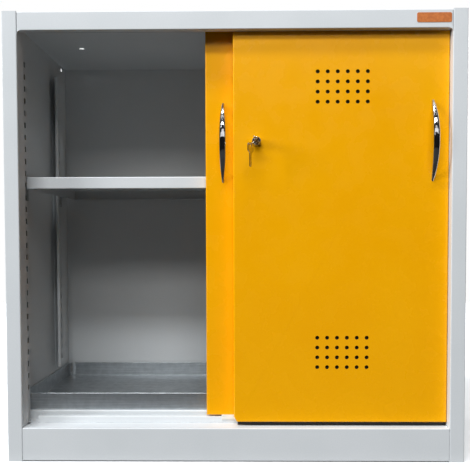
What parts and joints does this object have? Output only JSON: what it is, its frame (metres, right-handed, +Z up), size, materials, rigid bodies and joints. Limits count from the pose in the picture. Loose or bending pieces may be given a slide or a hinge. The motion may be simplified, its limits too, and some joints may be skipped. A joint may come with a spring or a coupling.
{
  "type": "safety storage cabinet",
  "caption": "Low sheet-steel safety storage cabinet with sliding doors on rollers, bow handles, push lock, slotted columns, lift-out shelf and spill tray.",
  "frame": {"origin": "on the floor, at the middle of the bounding box in plan, which takes in the key that stands out of the lock", "axes": "+X to the right seen from the front, +Y from the doors to the back wall, +Z up"},
  "size_m": [0.92, 0.4548, 0.9],
  "materials": {
    "grey_coat": "light grey structured powder coat, semi-matt",
    "yellow_coat": "warm yellow structured powder coat, semi-matt",
    "chrome": "bright chrome plating",
    "galvanised": "galvanised sheet steel, faintly brushed",
    "zinc_steel": "zinc-plated steel",
    "nickel": "nickel-plated brass and steel",
    "black_nylon": "moulded nylon, matt",
    "white_nylon": "moulded nylon, matt",
    "black_rubber": "moulded rubber"
  },
  "bodies": {
    "cabinet": {"side_panel_left": "grey_coat", "side_panel_right": "grey_coat", "rear_upright_left": "grey_coat", "rear_upright_right": "grey_coat", "top_cap": "grey_coat", "floor_pan": "grey_coat", "back_wall": "grey_coat", "guide_rail": "grey_coat", "shelf": "grey_coat", "top_track": "galvanised", "spill_tray": "galvanised", "shelf_clip_front_left": "zinc_steel", "shelf_clip_front_right": "zinc_steel", "shelf_clip_rear_left": "zinc_steel", "shelf_clip_rear_right": "zinc_steel", "ceiling_fixing_left": "zinc_steel", "ceiling_fixing_right": "zinc_steel", "track_stop_front_left": "black_rubber", "track_stop_front_right": "black_rubber", "track_stop_rear_left": "black_rubber", "track_stop_rear_right": "black_rubber"},
    "front_door": {"front_door_panel": "yellow_coat", "front_door_stiffener": "yellow_coat", "front_handle": "chrome", "front_handle_screw_lower": "zinc_steel", "front_handle_screw_upper": "zinc_steel", "front_hanger_left": "zinc_steel", "front_hanger_right": "zinc_steel", "front_shoe_left": "black_nylon", "front_shoe_right": "black_nylon", "lock_sleeve": "zinc_steel", "lock_nut": "zinc_steel"},
    "rear_door": {"rear_door_panel": "yellow_coat", "rear_door_stiffener": "yellow_coat", "rear_handle": "chrome", "rear_handle_screw_lower": "zinc_steel", "rear_handle_screw_upper": "zinc_steel", "rear_hanger_left": "zinc_steel", "rear_hanger_right": "zinc_steel", "rear_glide_left": "black_nylon", "rear_glide_right": "black_nylon", "lock_keeper": "zinc_steel"},
    "lock_cylinder": {"lock_cylinder": "chrome"},
    "lock_key": {"lock_plug": "nickel", "lock_key": "nickel", "key_ring": "nickel"},
    "spare_key": {"spare_key": "nickel"},
    "front_roller_left": {"front_roller_left": "white_nylon"},
    "front_roller_right": {"front_roller_right": "white_nylon"},
    "rear_roller_left": {"rear_roller_left": "white_nylon"},
    "rear_roller_right": {"rear_roller_right": "white_nylon"}
  },
  "joints": [
    {"name": "rear_door_slide", "type": "slide", "parent": "cabinet", "child": "rear_door", "axis": [1, 0, 0], "range_m": [-0.377, 0]},
    {"name": "front_door_slide", "type": "slide", "parent": "cabinet", "child": "front_door", "axis": [1, 0, 0], "range_m": [-0.012, 0]},
    {"name": "lock_push", "type": "slide", "parent": "front_door", "child": "lock_cylinder", "axis": [0, 1, 0], "range_m": [0, 0.003], "stiffness_N_per_m": 400, "springref_m": -0.003},
    {"name": "key_turn", "type": "hinge", "parent": "lock_cylinder", "child": "lock_key", "pos_m": [0.044, -0.18957, 0.6437], "axis": [0, 1, 0], "range_deg": [0, 90]},
    {"name": "spare_key_swing", "type": "hinge", "parent": "lock_key", "child": "spare_key", "pos_m": [0.03238, -0.2167, 0.63208], "axis": [0, 1, 0], "range_deg": [-25, 25]},
    {"name": "front_roller_left_spin", "type": "hinge", "parent": "front_door", "child": "front_roller_left", "pos_m": [0.033, -0.16887, 0.8853], "axis": [0, 1, 0], "range_deg": [-88, 2]},
    {"name": "front_roller_right_spin", "type": "hinge", "parent": "front_door", "child": "front_roller_right", "pos_m": [0.3935, -0.16887, 0.8853], "axis": [0, 1, 0], "range_deg": [-88, 2]},
    {"name": "rear_roller_left_spin", "type": "hinge", "parent": "rear_door", "child": "rear_roller_left", "pos_m": [-0.024, -0.14687, 0.8853], "axis": [0, 1, 0], "range_deg": [-2703, 2]},
    {"name": "rear_roller_right_spin", "type": "hinge", "parent": "rear_door", "child": "rear_roller_right", "pos_m": [0.401, -0.14687, 0.8853], "axis": [0, 1, 0], "range_deg": [-2703, 2]}
  ],
  "couplings": [
    {"joint": "front_roller_left_spin", "follows": "front_door_slide", "rad_per_m": 125},
    {"joint": "front_roller_right_spin", "follows": "front_door_slide", "rad_per_m": 125},
    {"joint": "rear_roller_left_spin", "follows": "rear_door_slide", "rad_per_m": 125},
    {"joint": "rear_roller_right_spin", "follows": "rear_door_slide", "rad_per_m": 125}
  ]
}
